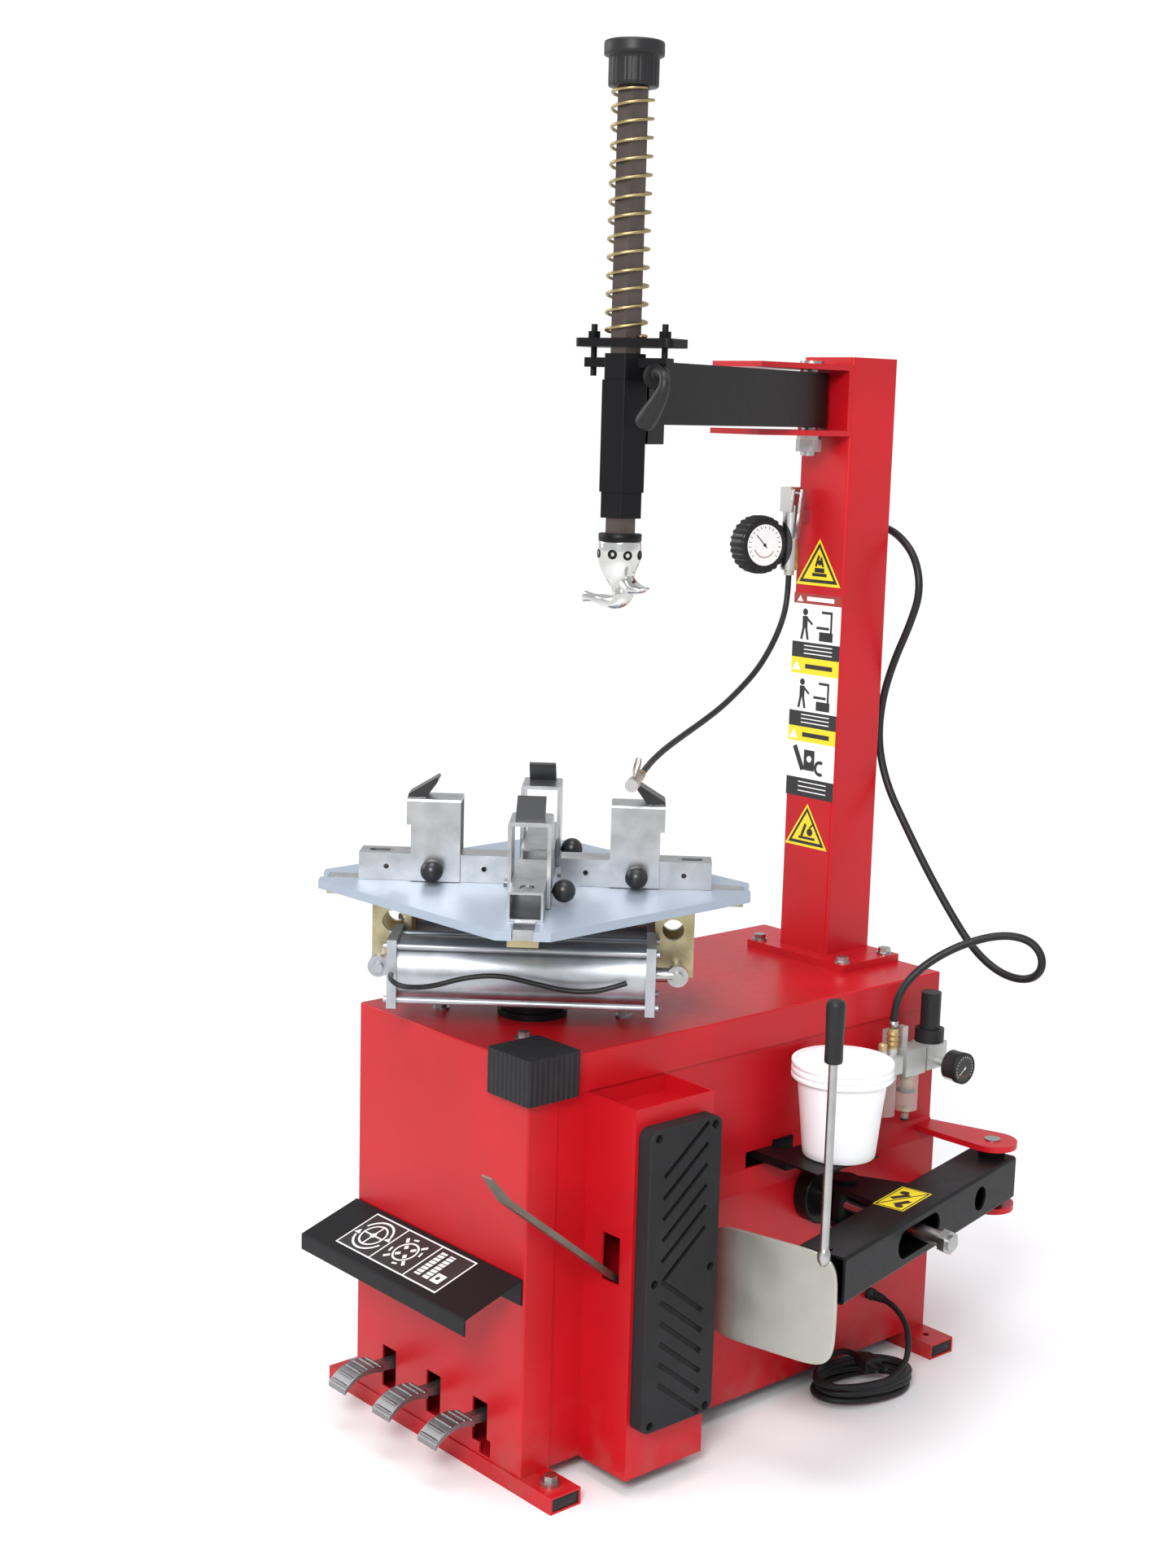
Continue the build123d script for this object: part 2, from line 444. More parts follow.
arm_half = ARM_HEIGHT / 2
tube = block(0, ARM_REACH - 20, -ARM_WIDTH / 2, ARM_WIDTH / 2, ARM_CENTRE_Z - arm_half, ARM_CENTRE_Z + arm_half)
tube += upright(0, 0, ARM_CENTRE_Z - arm_half, ARM_CENTRE_Z + arm_half, ARM_WIDTH / 2)
tube -= block(22, ARM_REACH, -ARM_WIDTH / 2 + ARM_WALL, ARM_WIDTH / 2 - ARM_WALL,
              ARM_CENTRE_Z - arm_half + ARM_WALL, ARM_CENTRE_Z + arm_half - ARM_WALL)
tube -= upright(0, 0, 0, COLUMN_TOP, PIVOT_RADIUS + RUN)
sleeve = hexagon(SLEEVE_FLATS, SLEEVE_BOTTOM + 33, SLEEVE_TOP - 33)
sleeve += hexagon(SLEEVE_FLATS - 5, SLEEVE_BOTTOM, SLEEVE_TOP)
sleeve = fillet(sleeve.edges().filter_by(Axis.Z), 2)
sleeve = Pos(ARM_REACH, 0, 0) * sleeve
web_height = 105.0          # deep end of the arm, where it is welded to the sleeve
web = block(ARM_REACH - 62, ARM_REACH - 20, -ARM_WIDTH / 2, ARM_WIDTH / 2,
            ARM_CENTRE_Z + arm_half - web_height, ARM_CENTRE_Z + arm_half)
ears = block(ARM_REACH - 10, ARM_REACH + 10, BOLT_IN - 8, BOLT_OUT + 8, SLEEVE_TOP - 17, SLEEVE_TOP - 5)
arm = tube + web + sleeve + ears
arm -= Pos(ARM_REACH, 0, 0) * hexagon(HEX_BORE, SLEEVE_BOTTOM - 1, SLEEVE_TOP + 1)
for bolt_v in (BOLT_IN, BOLT_OUT):
    arm -= upright(ARM_REACH, bolt_v, SLEEVE_TOP - 70, SLEEVE_TOP, 4.1)
save("swing_arm", on_arm(arm))

clamp = block(ARM_REACH - 26, ARM_REACH + 26, BOLT_IN - 15, BOLT_OUT + 22, CLAMP_Z, CLAMP_Z + CLAMP_THICK)
clamp = fillet(clamp.edges().filter_by(Axis.Z), 9)
clamp -= Pos(ARM_REACH, 0, 0) * hexagon(HEX_BORE, CLAMP_Z - 1, CLAMP_Z + CLAMP_THICK + 1)
for bolt_v in (BOLT_IN, BOLT_OUT):
    clamp -= upright(ARM_REACH, bolt_v, CLAMP_Z - 1, CLAMP_Z + CLAMP_THICK + 1, 4.1)
clamp_bolts = []
for bolt_v in (BOLT_IN, BOLT_OUT):
    stud_low = SLEEVE_TOP - 36 if bolt_v == BOLT_OUT else SLEEVE_TOP - 28
    stud = upright(ARM_REACH, bolt_v, stud_low, CLAMP_Z + CLAMP_THICK + 18, 4.0)
    nut = Pos(ARM_REACH, bolt_v, 0) * hexagon(15, CLAMP_Z + CLAMP_THICK, CLAMP_Z + CLAMP_THICK + 9)
    clamp_bolts.append(stud + nut)

LOCK_Z = SLEEVE_TOP - 28
LOCK_V = BOLT_OUT
lock_axle_x = ARM_REACH + 18
lock_block = block(ARM_REACH - 9, ARM_REACH + 9.5, LOCK_V - 9, LOCK_V + 9, LOCK_Z - 9, LOCK_Z + 9)
lock_block += rod((ARM_REACH + 9, LOCK_V, LOCK_Z), (lock_axle_x + 8, LOCK_V, LOCK_Z), 5)
lock_block -= upright(ARM_REACH, LOCK_V, LOCK_Z - 10, LOCK_Z + 10, 4)
save("clamp_plate", on_arm(group(clamp, lock_block, *clamp_bolts)))
lock = rod((lock_axle_x - 8, LOCK_V, LOCK_Z), (lock_axle_x + 8, LOCK_V, LOCK_Z), 16)
lock_path = FilletPolyline((lock_axle_x, LOCK_V, LOCK_Z), (lock_axle_x + 30, LOCK_V + 16, LOCK_Z - 4),
                           (lock_axle_x + 24, LOCK_V + 12, LOCK_Z - 70), radius=10)
lock_bar = sweep(Plane(origin=lock_path @ 0, z_dir=lock_path % 0) * Circle(5.5), lock_path)
lock += lock_bar
lock -= rod((lock_axle_x - 9, LOCK_V, LOCK_Z), (lock_axle_x + 8, LOCK_V, LOCK_Z), 5 + RUN)
save("lock_lever", on_arm(lock))

# --- hexagon shaft, spring, cap, collar and mounting head ------------------------------------------------------------------
SHAFT_BOTTOM = HEAD_TOP - 40


def on_shaft(shape):
    return on_arm(Pos(ARM_REACH, 0, 0) * shape)


save("hexagon_shaft", on_shaft(hexagon(SHAFT_FLATS, SHAFT_BOTTOM, SHAFT_TOP)))
SPRING_LOW = CLAMP_Z + CLAMP_THICK + SPRING_WIRE / 2
SPRING_HIGH = CAP_BOTTOM - SPRING_WIRE / 2 - 0.6
helix = Helix(pitch=(SPRING_HIGH - SPRING_LOW) / SPRING_TURNS, height=SPRING_HIGH - SPRING_LOW, radius=SPRING_RADIUS)
coil = sweep(Plane(origin=helix @ 0, z_dir=helix % 0) * Circle(SPRING_WIRE / 2), helix, is_frenet=True)
save("shaft_spring", on_shaft(Pos(0, 0, SPRING_LOW + 0.25) * coil))
cap = upright(0, 0, CAP_BOTTOM, CAP_TOP, 32) + upright(0, 0, CAP_TOP - 16, CAP_TOP, 38)
cap = fillet(cap.edges().group_by(Axis.Z)[-1], 3)
cap -= hexagon(SHAFT_FLATS, CAP_BOTTOM - 1, SHAFT_TOP)
save("shaft_cap", on_shaft(cap))
collar = fillet(upright(0, 0, HEAD_TOP, HEAD_TOP + COLLAR_HEIGHT, 28).edges(), 2.5)
collar -= hexagon(SHAFT_FLATS, HEAD_TOP - 1, HEAD_TOP + COLLAR_HEIGHT + 1)

# The head points its long nose across the arm. Local +Y is to the right of the arm's way out.
boss = upright(0, 0, HEAD_TOP - 42, HEAD_TOP, 27)
neck = loft([Plane.XY.offset(HEAD_TOP - 42) * Circle(26), Pos(0, 4, HEAD_BOTTOM + 10) * Ellipse(14, 17)])
nose = extrude(Plane.XY.offset(HEAD_BOTTOM) * Polygon((-14, -40), (-9, -40), (12, 18), (6, 24), (-12, 24), (-18, 0),
                                                      align=None), 16)
wing = extrude(Plane.XY.offset(HEAD_BOTTOM + 16) * Polygon((-6, 0), (14, 4), (20, 46), (8, 50), (-10, 22),
                                                           align=None), 10)
head = boss + neck + nose + wing
head -= hexagon(SHAFT_FLATS, SHAFT_BOTTOM, HEAD_TOP + 1)
save("mount_head", on_shaft(group(head, collar)))

# --- turntable, spindle and worm drive ---------------------------------------------------------------------------------------
table = turned(block(-PLATE_SIDE / 2, PLATE_SIDE / 2, -PLATE_SIDE / 2, PLATE_SIDE / 2,
                     PLATE_TOP - PLATE_THICK, PLATE_TOP), 45)
table &= block(-PLATE_TIP, PLATE_TIP, -PLATE_TIP, PLATE_TIP, 0, PLATE_TOP)
SLOT_INNER = 80.0
for quarter in range(4):
    table -= turned(block(SLOT_INNER, PLATE_TIP + 5, -SLOT_WIDTH / 2, SLOT_WIDTH / 2, 0, PLATE_TOP + 1), 90 * quarter)
plate_low = PLATE_TOP - PLATE_THICK
HUB_THICK = 12.0
HUB_RADIUS = 72.0
hub_bolts = [(50 * cos(radians(45 + 90 * k)), 50 * sin(radians(45 + 90 * k))) for k in range(4)]
for bolt_x, bolt_y in hub_bolts:
    table -= upright(bolt_x, bolt_y, 0, PLATE_TOP + 1, 5.0)
save("turntable_plate", turned(table, TABLE_TURN))

GEAR_Z0, GEAR_Z1 = 500.0, 532.0
GEAR_RADIUS = 56.0
CASE_TOP = WALL_TOP - DECK_THICK
spindle = upright(0, 0, 470, plate_low - HUB_THICK, SPINDLE_RADIUS)
spindle += upright(0, 0, plate_low - HUB_THICK, plate_low, HUB_RADIUS)
for bolt_x, bolt_y in hub_bolts:
    spindle -= upright(bolt_x, bolt_y, 700, 800, 5.0)
worm_wheel = upright(0, 0, GEAR_Z0, GEAR_Z1, GEAR_RADIUS) - upright(0, 0, GEAR_Z0 - 1, GEAR_Z1 + 1, SPINDLE_RADIUS)
hub_screws = [hex_bolt(x, y, PLATE_TOP, 13, 5.0, PLATE_THICK + HUB_THICK, 5) for x, y in hub_bolts]
save("spindle", turned(group(spindle, worm_wheel, *hub_screws), TABLE_TURN))
coupling = upright(0, 0, CAB_TOP, CAB_TOP + 9, 49) + upright(0, 0, CAB_TOP + 9, CAB_TOP + 30, 44)
coupling -= upright(0, 0, 0, CAB_TOP + 40, SPINDLE_RADIUS + RUN)
save("rotary_coupling", coupling)

WORM_X = -(GEAR_RADIUS + 22)
WORM_Z = (GEAR_Z0 + GEAR_Z1) / 2
CASE_LOW = 462.0
case = block(-112, 78, -78, 78, CASE_LOW, CASE_TOP)
case -= block(-104, 70, -70, 70, CASE_LOW + 8, CASE_TOP - 8)
case -= upright(0, 0, CASE_TOP - 20, CASE_TOP + 1, SPINDLE_RADIUS + RUN)
case -= rod((WORM_X, -100, WORM_Z), (WORM_X, 100, WORM_Z), 11 + RUN)
save("gearbox_case", case)
PULLEY_Y = 100.0
worm = rod((WORM_X, -74, WORM_Z), (WORM_X, PULLEY_Y + 20, WORM_Z), 11)
worm += rod((WORM_X, -45, WORM_Z), (WORM_X, 45, WORM_Z), 20)
worm += rod((WORM_X, PULLEY_Y, WORM_Z), (WORM_X, PULLEY_Y + 18, WORM_Z), 48)
save("worm_shaft", worm)
MOTOR_X, MOTOR_Z = WORM_X + 6, 262.0
motor = rod((MOTOR_X, -120, MOTOR_Z), (MOTOR_X, PULLEY_Y - 20, MOTOR_Z), 62)
motor += block(MOTOR_X - 50, MOTOR_X + 50, -90, 50, MOTOR_Z - 80, MOTOR_Z - 50)
motor += block(SHELL_LEFT + SHEET, MOTOR_X, -60, 20, MOTOR_Z - 20, MOTOR_Z + 20)
motor -= rod((MOTOR_X, PULLEY_Y - 60, MOTOR_Z), (MOTOR_X, PULLEY_Y, MOTOR_Z), 9 + RUN)
save("motor", motor)
motor_pulley = rod((MOTOR_X, PULLEY_Y - 58, MOTOR_Z), (MOTOR_X, PULLEY_Y + 20, MOTOR_Z), 9)
motor_pulley += rod((MOTOR_X, PULLEY_Y, MOTOR_Z), (MOTOR_X, PULLEY_Y + 18, MOTOR_Z), 25)
save("motor_pulley", motor_pulley)


def belt_band(grow):
    """The hull of the two pulleys, grown by a thickness."""
    far, near = (WORM_X, WORM_Z, 48 + grow), (MOTOR_X, MOTOR_Z, 25 + grow)
    flat = Plane(origin=(0, PULLEY_Y + 3, 0), x_dir=(1, 0, 0), z_dir=(0, -1, 0))
    discs = [Pos(x, z) * Circle(r) for x, z, r in (far, near)]
    return extrude(flat * make_hull(discs[0].edges() + discs[1].edges()), -12)


save("drive_belt", belt_band(5.3) - belt_band(0.3))

# --- jaws -----------------------------------------------------------------------------------------------------------------------
# Each jaw is drawn along +X, then turned. The side with the ball knob is +1 for its left, -1 for its right.
JAWS = {"left": (TABLE_TURN + 180, 1), "right": (TABLE_TURN, -1), "near": (TABLE_TURN - 90, 1), "far": (TABLE_TURN + 90, -1)}
GUIDE_Z0 = PLATE_TOP + 0.3
GUIDE_Z1 = GUIDE_Z0 + GUIDE_HEIGHT
BLOCK_INNER, BLOCK_OUTER = 96.0, 288.0
KEEPER_Z = plate_low - 0.3
LINK_GAP, LINK_SHEET = 26.0, 8.0
LINK_X0, LINK_X1 = 168.0, 222.0
KNOB_X = 140.0
KNOB_Z = GUIDE_Z0 + 19
LEG_GAP = GUIDE_WIDTH / 2 + SLIDE_CLEAR


def guide(eye_x):
    """The zinc-plated box, its slide block in the table slot and the keeper below the table."""
    box = block(GUIDE_INNER, GUIDE_OUTER, -GUIDE_WIDTH / 2, GUIDE_WIDTH / 2, GUIDE_Z0, GUIDE_Z1)
    box -= block(GUIDE_INNER - 1, GUIDE_OUTER + 1, -GUIDE_WIDTH / 2 + GUIDE_WALL, GUIDE_WIDTH / 2 - GUIDE_WALL,
                 GUIDE_Z0 + GUIDE_WALL, GUIDE_Z1 - GUIDE_WALL)
    for hole_x in (70, 205):
        box -= rod((hole_x, -40, KNOB_Z), (hole_x, 40, KNOB_Z), 3.6)
    box -= rod((KNOB_X, -40, KNOB_Z), (KNOB_X, 40, KNOB_Z), 3.6)
    box -= extrude(Plane.XY.offset(GUIDE_Z1 - 5) * Pos(214, 0) * SlotOverall(34, 18), 10)
    box += block(BLOCK_INNER, BLOCK_OUTER, -SLOT_WIDTH / 2 + SLIDE_CLEAR, SLOT_WIDTH / 2 - SLIDE_CLEAR, KEEPER_Z, GUIDE_Z0)
    box += block(BLOCK_INNER, BLOCK_OUTER, -20, 20, KEEPER_Z - 10, KEEPER_Z)
    if eye_x:
        for side in (-1, 1):
            y0, y1 = sorted((side * LINK_GAP, side * (LINK_GAP + LINK_SHEET)))
            link = block(LINK_X0, LINK_X1, y0, y1, CYL_Z - 16, KEEPER_Z)
            link -= rod((LINK_X0 + 25, y0 - 1, CYL_Z + 50), (LINK_X0 + 25, y1 + 1, CYL_Z + 50), 15)
            link -= rod((eye_x, y0 - 1, CYL_Z), (eye_x, y1 + 1, CYL_Z), PIN_RADIUS)
            box += link + block(LINK_X0, LINK_X1, *sorted((side * 18, side * LINK_GAP)), KEEPER_Z - 10, KEEPER_Z)
    return box


def carriage(side):
    """The folded sheet saddle over the guide, with the hardened claw on top."""
    wide = LEG_GAP + CARRIAGE_SHEET
    saddle = block(CARRIAGE_INNER, CARRIAGE_OUTER - 6, -wide, wide, GUIDE_Z0 + 1, CARRIAGE_TOP)
    saddle += block(CARRIAGE_INNER, CARRIAGE_OUTER, -wide, wide, CARRIAGE_TOP - 36, CARRIAGE_TOP)
    saddle = fillet(saddle.edges().group_by(Axis.Z)[-1].filter_by(Axis.X), 4)
    saddle -= block(0, CARRIAGE_OUTER + 1, -LEG_GAP, LEG_GAP, 0, CARRIAGE_TOP - CARRIAGE_SHEET)
    saddle -= rod((KNOB_X, 0, KNOB_Z), (KNOB_X, side * 60, KNOB_Z), 3.6)
    claw_outline = [(CARRIAGE_OUTER, CARRIAGE_TOP), (CARRIAGE_OUTER - 1, CARRIAGE_TOP + 5),
                    (CARRIAGE_INNER + 34, CARRIAGE_TOP + 29), (CARRIAGE_INNER + 32, CARRIAGE_TOP + 26),
                    (CARRIAGE_INNER + 34, CARRIAGE_TOP + 21), (CARRIAGE_OUTER - 25, CARRIAGE_TOP)]
    claw_plane = Plane(origin=(0, 0, 0), x_dir=(1, 0, 0), z_dir=(0, -1, 0))
    claw = extrude(claw_plane * make_face(Polyline(*claw_outline, close=True).edges()), 19, both=True)
    return group(saddle, claw, knob(side))


def knob(side):
    """Spring pin with a ball knob, drawn back so that its nose clears the guide's side hole."""
    wide = LEG_GAP + CARRIAGE_SHEET
    stem = rod((KNOB_X, side * (GUIDE_WIDTH / 2 + 0.2), KNOB_Z), (KNOB_X, side * (wide + 18), KNOB_Z), 3.4)
    ball = Pos(KNOB_X, side * (wide + KNOB_RADIUS + 1), KNOB_Z) * Sphere(KNOB_RADIUS)
    return stem + ball


JAW_EYES = {"left": -EYE_LEFT, "right": EYE_RIGHT, "near": 0, "far": 0}
for jaw, (azimuth, side) in JAWS.items():
    save(f"{jaw}_guide", turned(guide(JAW_EYES[jaw]), azimuth))
    save(f"{jaw}_carriage", turned(carriage(side), azimuth))

# --- clamp cylinders, along the left and right jaws ----------------------------------------------------------------------------------
HEAD_PLATE = 13.0
near_far = (-CYL_OFFSET, CYL_OFFSET)
pin_reach = CYL_OFFSET + 16


def clamp_cylinder(v):
    half_head = CYL_HEAD / 2
    body = rod((CYL_LEFT, v, CYL_Z), (CYL_RIGHT, v, CYL_Z), CYL_BORE + 3)
    for x0, x1 in ((CYL_LEFT, CYL_LEFT + HEAD_PLATE), (CYL_RIGHT - HEAD_PLATE, CYL_RIGHT)):
        body += block(x0, x1, v - half_head, v + half_head, CYL_Z - half_head, CYL_Z + half_head)
    body -= rod((CYL_LEFT + HEAD_PLATE, v, CYL_Z), (CYL_RIGHT - HEAD_PLATE, v, CYL_Z), CYL_BORE)
    body -= rod((0, v, CYL_Z), (CYL_RIGHT + 1, v, CYL_Z), CYL_ROD + RUN)
    for dy in (-1, 1):
        for dz in (-1, 1):
            corner_y, corner_z = v + dy * 37, CYL_Z + dz * 37
            body += rod((CYL_LEFT - 5, corner_y, corner_z), (CYL_RIGHT + 5, corner_y, corner_z), 4.5)
    eye = rod((EYE_LEFT, v - 8, CYL_Z), (EYE_LEFT, v + 8, CYL_Z), 14.5)
    eye += block(EYE_LEFT, CYL_LEFT, v - 8, v + 8, CYL_Z - 12, CYL_Z + 12)
    return body + eye


left_pin = rod((EYE_LEFT, -pin_reach, CYL_Z), (EYE_LEFT, pin_reach, CYL_Z), PIN_RADIUS)
cylinders = clamp_cylinder(near_far[0]) + clamp_cylinder(near_far[1]) + left_pin
save("clamp_cylinders", turned(cylinders, TABLE_TURN))


def clamp_rod(v):
    piston = rod((CYL_LEFT + HEAD_PLATE + 4, v, CYL_Z), (CYL_LEFT + HEAD_PLATE + 26, v, CYL_Z), CYL_BORE - RUN)
    bar = rod((CYL_LEFT + HEAD_PLATE + 4, v, CYL_Z), (EYE_RIGHT, v, CYL_Z), CYL_ROD)
    return piston + bar + rod((EYE_RIGHT, v - 9, CYL_Z), (EYE_RIGHT, v + 9, CYL_Z), 14.5)


right_pin = rod((EYE_RIGHT, -pin_reach, CYL_Z), (EYE_RIGHT, pin_reach, CYL_Z), PIN_RADIUS)
save("clamp_rods", turned(clamp_rod(near_far[0]) + clamp_rod(near_far[1]) + right_pin, TABLE_TURN))


def cord_tube(route, radius):
    """A tube along straight runs joined by arcs as large as the runs allow."""
    points = [Vector(*p) for p in route]
    bends = []
    for before, at, after in zip(points, points[1:], points[2:]):
        turn = (at - before).get_angle(after - at)
        shorter = min((at - before).length, (after - at).length)
        bends.append(0.45 * shorter / tan(radians(turn) / 2))
    path = FilletPolyline(*points, radius=bends)
    tube = sweep(Plane(origin=path @ 0, z_dir=path % 0) * Circle(radius), path)
    print("cord radii", [round(b) for b in bends], "smallest in diameters", round(min(bends) / radius / 2, 1))
    print("volume over section times length", round(tube.volume / (pi * radius ** 2 * path.length), 4))
    return tube


# --- air tubing between the clamp cylinders ---------------------------------------------------------------
TUBE_RADIUS = 3.5
tube_route = [(CYL_LEFT + 6, -CYL_OFFSET - 47, CYL_Z), (CYL_LEFT + 6, -CYL_OFFSET - 69, CYL_Z),
              (CYL_LEFT + 24, -CYL_OFFSET - 81, CYL_Z - 8), (CYL_LEFT + 62, -CYL_OFFSET - 67, CYL_Z - 10),
              (CYL_LEFT + 104, -CYL_OFFSET - 58, CYL_Z + 2), (CYL_LEFT + 150, -CYL_OFFSET - 56, CYL_Z + 7),
              (CYL_LEFT + 196, -CYL_OFFSET - 58, CYL_Z - 2), (CYL_LEFT + 244, -CYL_OFFSET - 60, CYL_Z - 12),
              (CYL_LEFT + 290, -CYL_OFFSET - 60, CYL_Z - 10), (CYL_LEFT + 322, -CYL_OFFSET - 56, CYL_Z + 2)]
save("cylinder_tube", turned(cord_tube(tube_route, TUBE_RADIUS), TABLE_TURN))

# --- bead breaker ------------------------------------------------------------------------------------------
# The arm is drawn along +X from its hinge pin, then turned to where it stands; +Y of it is outward.
BREAKER_LOW = BREAKER_TOP - BREAKER_TUBE_H
BREAKER_MID = BREAKER_TOP - BREAKER_TUBE_H / 2
LUG_GAP = 11.0
LUG_TOP = BREAKER_TOP + LUG_GAP + LUG_PLATE
LUG_LOW = BREAKER_LOW - LUG_GAP - LUG_PLATE


def on_breaker(shape):
    return Pos(BREAKER_X, BREAKER_Y, 0) * turned(shape, -90 + BREAKER_REST)


def lug(z0, wall_x):
    """A plate from the cabinet side, rounded about the hinge pin."""
    outline = Pos((wall_x + 30) / 1, CAB_REAR - SHEET - 20) * Rectangle(60, 40)
    plate = make_hull(outline.edges() + (Pos(BREAKER_X, BREAKER_Y) * Circle(LUG_RADIUS)).edges())
    shape = extrude(Plane.XY.offset(z0) * plate, LUG_PLATE)
    shape -= upright(BREAKER_X, BREAKER_Y, z0 - 1, z0 + LUG_PLATE + 1, BREAKER_PIN)
    shape -= ledge
    return shape


LUG_WALL = SHELL_RIGHT + LEDGE
save("breaker_lugs", group(lug(LUG_TOP - LUG_PLATE, SHELL_RIGHT), lug(LUG_LOW, LUG_WALL)))
breaker_pin = upright(BREAKER_X, BREAKER_Y, LUG_LOW, LUG_TOP + 2, BREAKER_PIN)
save("fixing_bolts", group(*fixings, *pad_fasteners, pivot_bolt, breaker_pin))

half_tube = BREAKER_TUBE_W / 2
arm = block(BREAKER_START, BREAKER_END, -half_tube, half_tube, BREAKER_LOW, BREAKER_TOP)
arm = fillet(arm.edges().filter_by(Axis.X), 5)
arm -= block(BREAKER_START + BREAKER_WALL, BREAKER_END + 1, -half_tube + BREAKER_WALL, half_tube - BREAKER_WALL,
             BREAKER_LOW + BREAKER_WALL, BREAKER_TOP - BREAKER_WALL)
arm += upright(0, 0, BREAKER_LOW - LUG_GAP + 0.5, BREAKER_TOP + LUG_GAP - 0.5, 20)
arm -= upright(0, 0, 0, BREAKER_TOP + 40, BREAKER_PIN + RUN)
slot_plane = Plane(origin=(301, half_tube + 1, RAM_Z), x_dir=(1, 0, 0), z_dir=(0, -1, 0))
arm -= extrude(slot_plane * SlotOverall(123, 42), BREAKER_TUBE_W + 2)
arm -= rod((110, half_tube + 1, BREAKER_MID), (110, half_tube - 10, BREAKER_MID), 18)
CLEVIS_PLATE = 9.0
CLEVIS_TOP = BREAKER_TOP
CLEVIS_LOW = 2 * RAM_Z - BREAKER_TOP
for plate_z in (CLEVIS_TOP - CLEVIS_PLATE, CLEVIS_LOW):
    root = Pos(253, -half_tube + 1) * Rectangle(98, 6)
    tip_disc = Pos(SWIVEL_U, SWIVEL_V) * Circle(26)
    arm += extrude(Plane.XY.offset(plate_z) * make_hull(root.edges() + tip_disc.edges()), CLEVIS_PLATE)
arm -= upright(SWIVEL_U, SWIVEL_V, 0, BREAKER_TOP + 40, SWIVEL_RADIUS + RUN)
arm -= upright(BLADE_PIN_U, 0, 0, BREAKER_TOP + 40, 8)
blade_pin = upright(BLADE_PIN_U, 0, BREAKER_LOW - 2, BREAKER_TOP + 2, 8)
save("breaker_arm", on_breaker(group(arm, blade_pin)))

TRUNNION_EASE = 3.2         # the rod's hole lets the swivel move across the rod as the arm swings
swivel = upright(SWIVEL_U, SWIVEL_V, CLEVIS_LOW, CLEVIS_TOP + 0.3, SWIVEL_RADIUS)
swivel += upright(SWIVEL_U, SWIVEL_V, CLEVIS_TOP + 0.3, CLEVIS_TOP + 5, SWIVEL_RADIUS + 2)
swivel = on_breaker(swivel)
swivel_y = swivel.center().Y
swivel -= rod((150, swivel_y, RAM_Z), (400, swivel_y, RAM_Z), RAM_ROD + TRUNNION_EASE)
save("breaker_swivel", swivel)

RAM_X0, RAM_X1 = -150.0, 150.0
RAM_STROKE = 80.0
ram = rod((RAM_X0, RAM_Y, RAM_Z), (RAM_X1, RAM_Y, RAM_Z), RAM_RADIUS)
ram -= rod((RAM_X0 + 8, RAM_Y, RAM_Z), (RAM_X1 - 8, RAM_Y, RAM_Z), RAM_RADIUS - 4)
ram += block(SHELL_LEFT + SHEET, RAM_X0, RAM_Y - 30, RAM_Y + 30, RAM_Z - 30, RAM_Z + 30)
ram += rod((RAM_X1, RAM_Y, RAM_Z), (SHELL_RIGHT + LEDGE, RAM_Y, RAM_Z), RAM_OPENING)
ram -= rod((RAM_X1 - 20, RAM_Y, RAM_Z), (SHELL_RIGHT + LEDGE + 1, RAM_Y, RAM_Z), RAM_ROD + RUN)
buffer = rod((SHELL_RIGHT + LEDGE, RAM_Y, RAM_Z), (SHELL_RIGHT + LEDGE + 27, RAM_Y, RAM_Z), 44)
buffer = fillet(buffer.edges(), 4)
buffer -= rod((SHELL_RIGHT, RAM_Y, RAM_Z), (SHELL_RIGHT + LEDGE + 40, RAM_Y, RAM_Z), RAM_ROD + 3)
save("breaker_cylinder", group(ram, buffer))
piston_x = RAM_X1 - 8 - 4
ram_rod = rod((piston_x - 24, RAM_Y, RAM_Z), (RAM_NUT_X + 16, RAM_Y, RAM_Z), RAM_ROD)
ram_rod += rod((piston_x - 24, RAM_Y, RAM_Z), (piston_x, RAM_Y, RAM_Z), RAM_RADIUS - 4 - RUN)
nut = Plane(origin=(RAM_NUT_X, RAM_Y, RAM_Z), z_dir=(1, 0, 0)) * RegularPolygon(15, 6, major_radius=False)
ram_rod += extrude(nut, 12)
save("breaker_rod", ram_rod)

# --- breaker blade with its handle ----------------------------------------------------------------------------
BLADE_MID_U = BREAKER_END + 10.7
BLADE_BOW = 5.5             # the middle of the blade sits back from its upper and lower edges
blade_zm = (BLADE_LOW + BLADE_TOP) / 2
front_arc = ThreePointArc((BLADE_MID_U + BLADE_BOW, BLADE_LOW), (BLADE_MID_U, blade_zm),
                          (BLADE_MID_U + BLADE_BOW, BLADE_TOP))
rear_arc = ThreePointArc((BLADE_MID_U + BLADE_BOW - BLADE_THICK, BLADE_LOW), (BLADE_MID_U - BLADE_THICK, blade_zm),
                         (BLADE_MID_U + BLADE_BOW - BLADE_THICK, BLADE_TOP))
blade_edges = [front_arc.edge(), rear_arc.edge(), Line(front_arc @ 0, rear_arc @ 0).edge(),
               Line(front_arc @ 1, rear_arc @ 1).edge()]
blade_plane = Plane(origin=(0, BLADE_OUT, 0), x_dir=(1, 0, 0), z_dir=(0, -1, 0))
blade = extrude(blade_plane * make_face(blade_edges), BLADE_OUT - BLADE_IN)
CUT = 27.0
